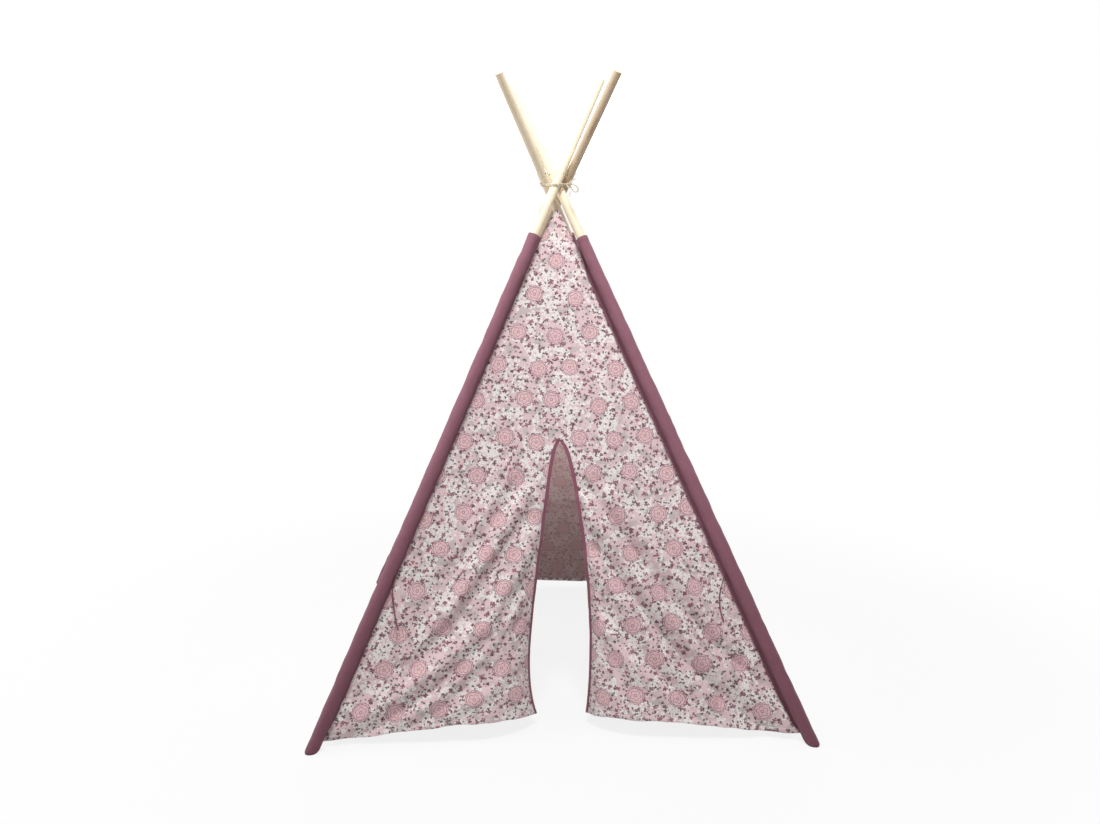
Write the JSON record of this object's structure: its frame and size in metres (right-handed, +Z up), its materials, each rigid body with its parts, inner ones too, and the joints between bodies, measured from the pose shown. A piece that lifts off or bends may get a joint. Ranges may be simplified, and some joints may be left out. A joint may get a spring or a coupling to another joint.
{
  "type": "kids teepee",
  "caption": "Play tent of crossed wooden poles in cloth sleeves, with printed panels, a slit door between two flaps, and a cord lashing at the crossing.",
  "frame": {"origin": "on the floor, at the centre of the four feet", "axes": "+Z up, door faces -Y, +X to the right when facing the door from outside"},
  "size_m": [1.2332, 1.233, 1.6526],
  "materials": {
    "pine": "planed, unfinished",
    "steel": "plain zinc plated",
    "plum_cloth": "plain weave cotton",
    "printed_cloth": "plain weave cotton, printed",
    "plum_tape": "folded cotton tape",
    "plum_ribbon": "narrow cotton tape",
    "natural_cord": "twisted cotton cord"
  },
  "bodies": {
    "cover": {"front_panel": "printed_cloth", "left_panel": "printed_cloth", "right_panel": "printed_cloth", "back_panel": "printed_cloth", "lashing_cord": "natural_cord", "lashing_bow": "natural_cord"},
    "pole_front_left": {"lower_pole_front_left": "pine", "upper_pole_front_left": "pine", "ferrule_front_left": "steel", "sleeve_front_left": "plum_cloth", "tie_left": "plum_ribbon"},
    "pole_front_right": {"lower_pole_front_right": "pine", "upper_pole_front_right": "pine", "ferrule_front_right": "steel", "sleeve_front_right": "plum_cloth", "tie_right": "plum_ribbon"},
    "pole_back_right": {"lower_pole_back_right": "pine", "upper_pole_back_right": "pine", "ferrule_back_right": "steel", "sleeve_back_right": "plum_cloth"},
    "pole_back_left": {"lower_pole_back_left": "pine", "upper_pole_back_left": "pine", "ferrule_back_left": "steel", "sleeve_back_left": "plum_cloth"},
    "door_left": {"door_flap_left": "printed_cloth", "door_binding_left": "plum_tape"},
    "door_right": {"door_flap_right": "printed_cloth", "door_binding_right": "plum_tape"}
  },
  "joints": [
    {"name": "fold_front_left", "type": "hinge", "parent": "cover", "child": "pole_front_left", "pos_m": [-0.0085, -0.032, 1.33], "axis": [0.6926, -0.7213, 0], "range_deg": [0, 17], "deforming": ["front_panel", "left_panel", "lashing_cord", "lashing_bow"]},
    {"name": "fold_front_right", "type": "hinge", "parent": "cover", "child": "pole_front_right", "pos_m": [0.0146, -0.0045, 1.33], "axis": [0.7131, 0.701, 0], "range_deg": [0, 17]},
    {"name": "fold_back_right", "type": "hinge", "parent": "cover", "child": "pole_back_right", "pos_m": [-0.0146, 0.004, 1.33], "axis": [-0.6962, 0.7179, 0], "range_deg": [0, 17], "deforming": ["right_panel", "back_panel"]},
    {"name": "fold_back_left", "type": "hinge", "parent": "cover", "child": "pole_back_left", "pos_m": [0.018, 0.036, 1.33], "axis": [-0.6741, -0.7386, 0], "range_deg": [0, 17]},
    {"name": "door_left_swing", "type": "hinge", "parent": "cover", "child": "door_left", "pos_m": [-0.15786, -0.44109, 0.3114], "axis": [-0.3238, -0.3794, -0.8667], "range_deg": [-40, 150]},
    {"name": "door_right_swing", "type": "hinge", "parent": "cover", "child": "door_right", "pos_m": [0.15983, -0.4408, 0.3114], "axis": [-0.3203, 0.3794, 0.868], "range_deg": [-40, 150]}
  ],
  "couplings": [
    {"joint": "fold_front_right", "follows": "fold_front_left", "ratio": 1},
    {"joint": "fold_back_right", "follows": "fold_front_left", "ratio": 1},
    {"joint": "fold_back_left", "follows": "fold_front_left", "ratio": 1}
  ]
}
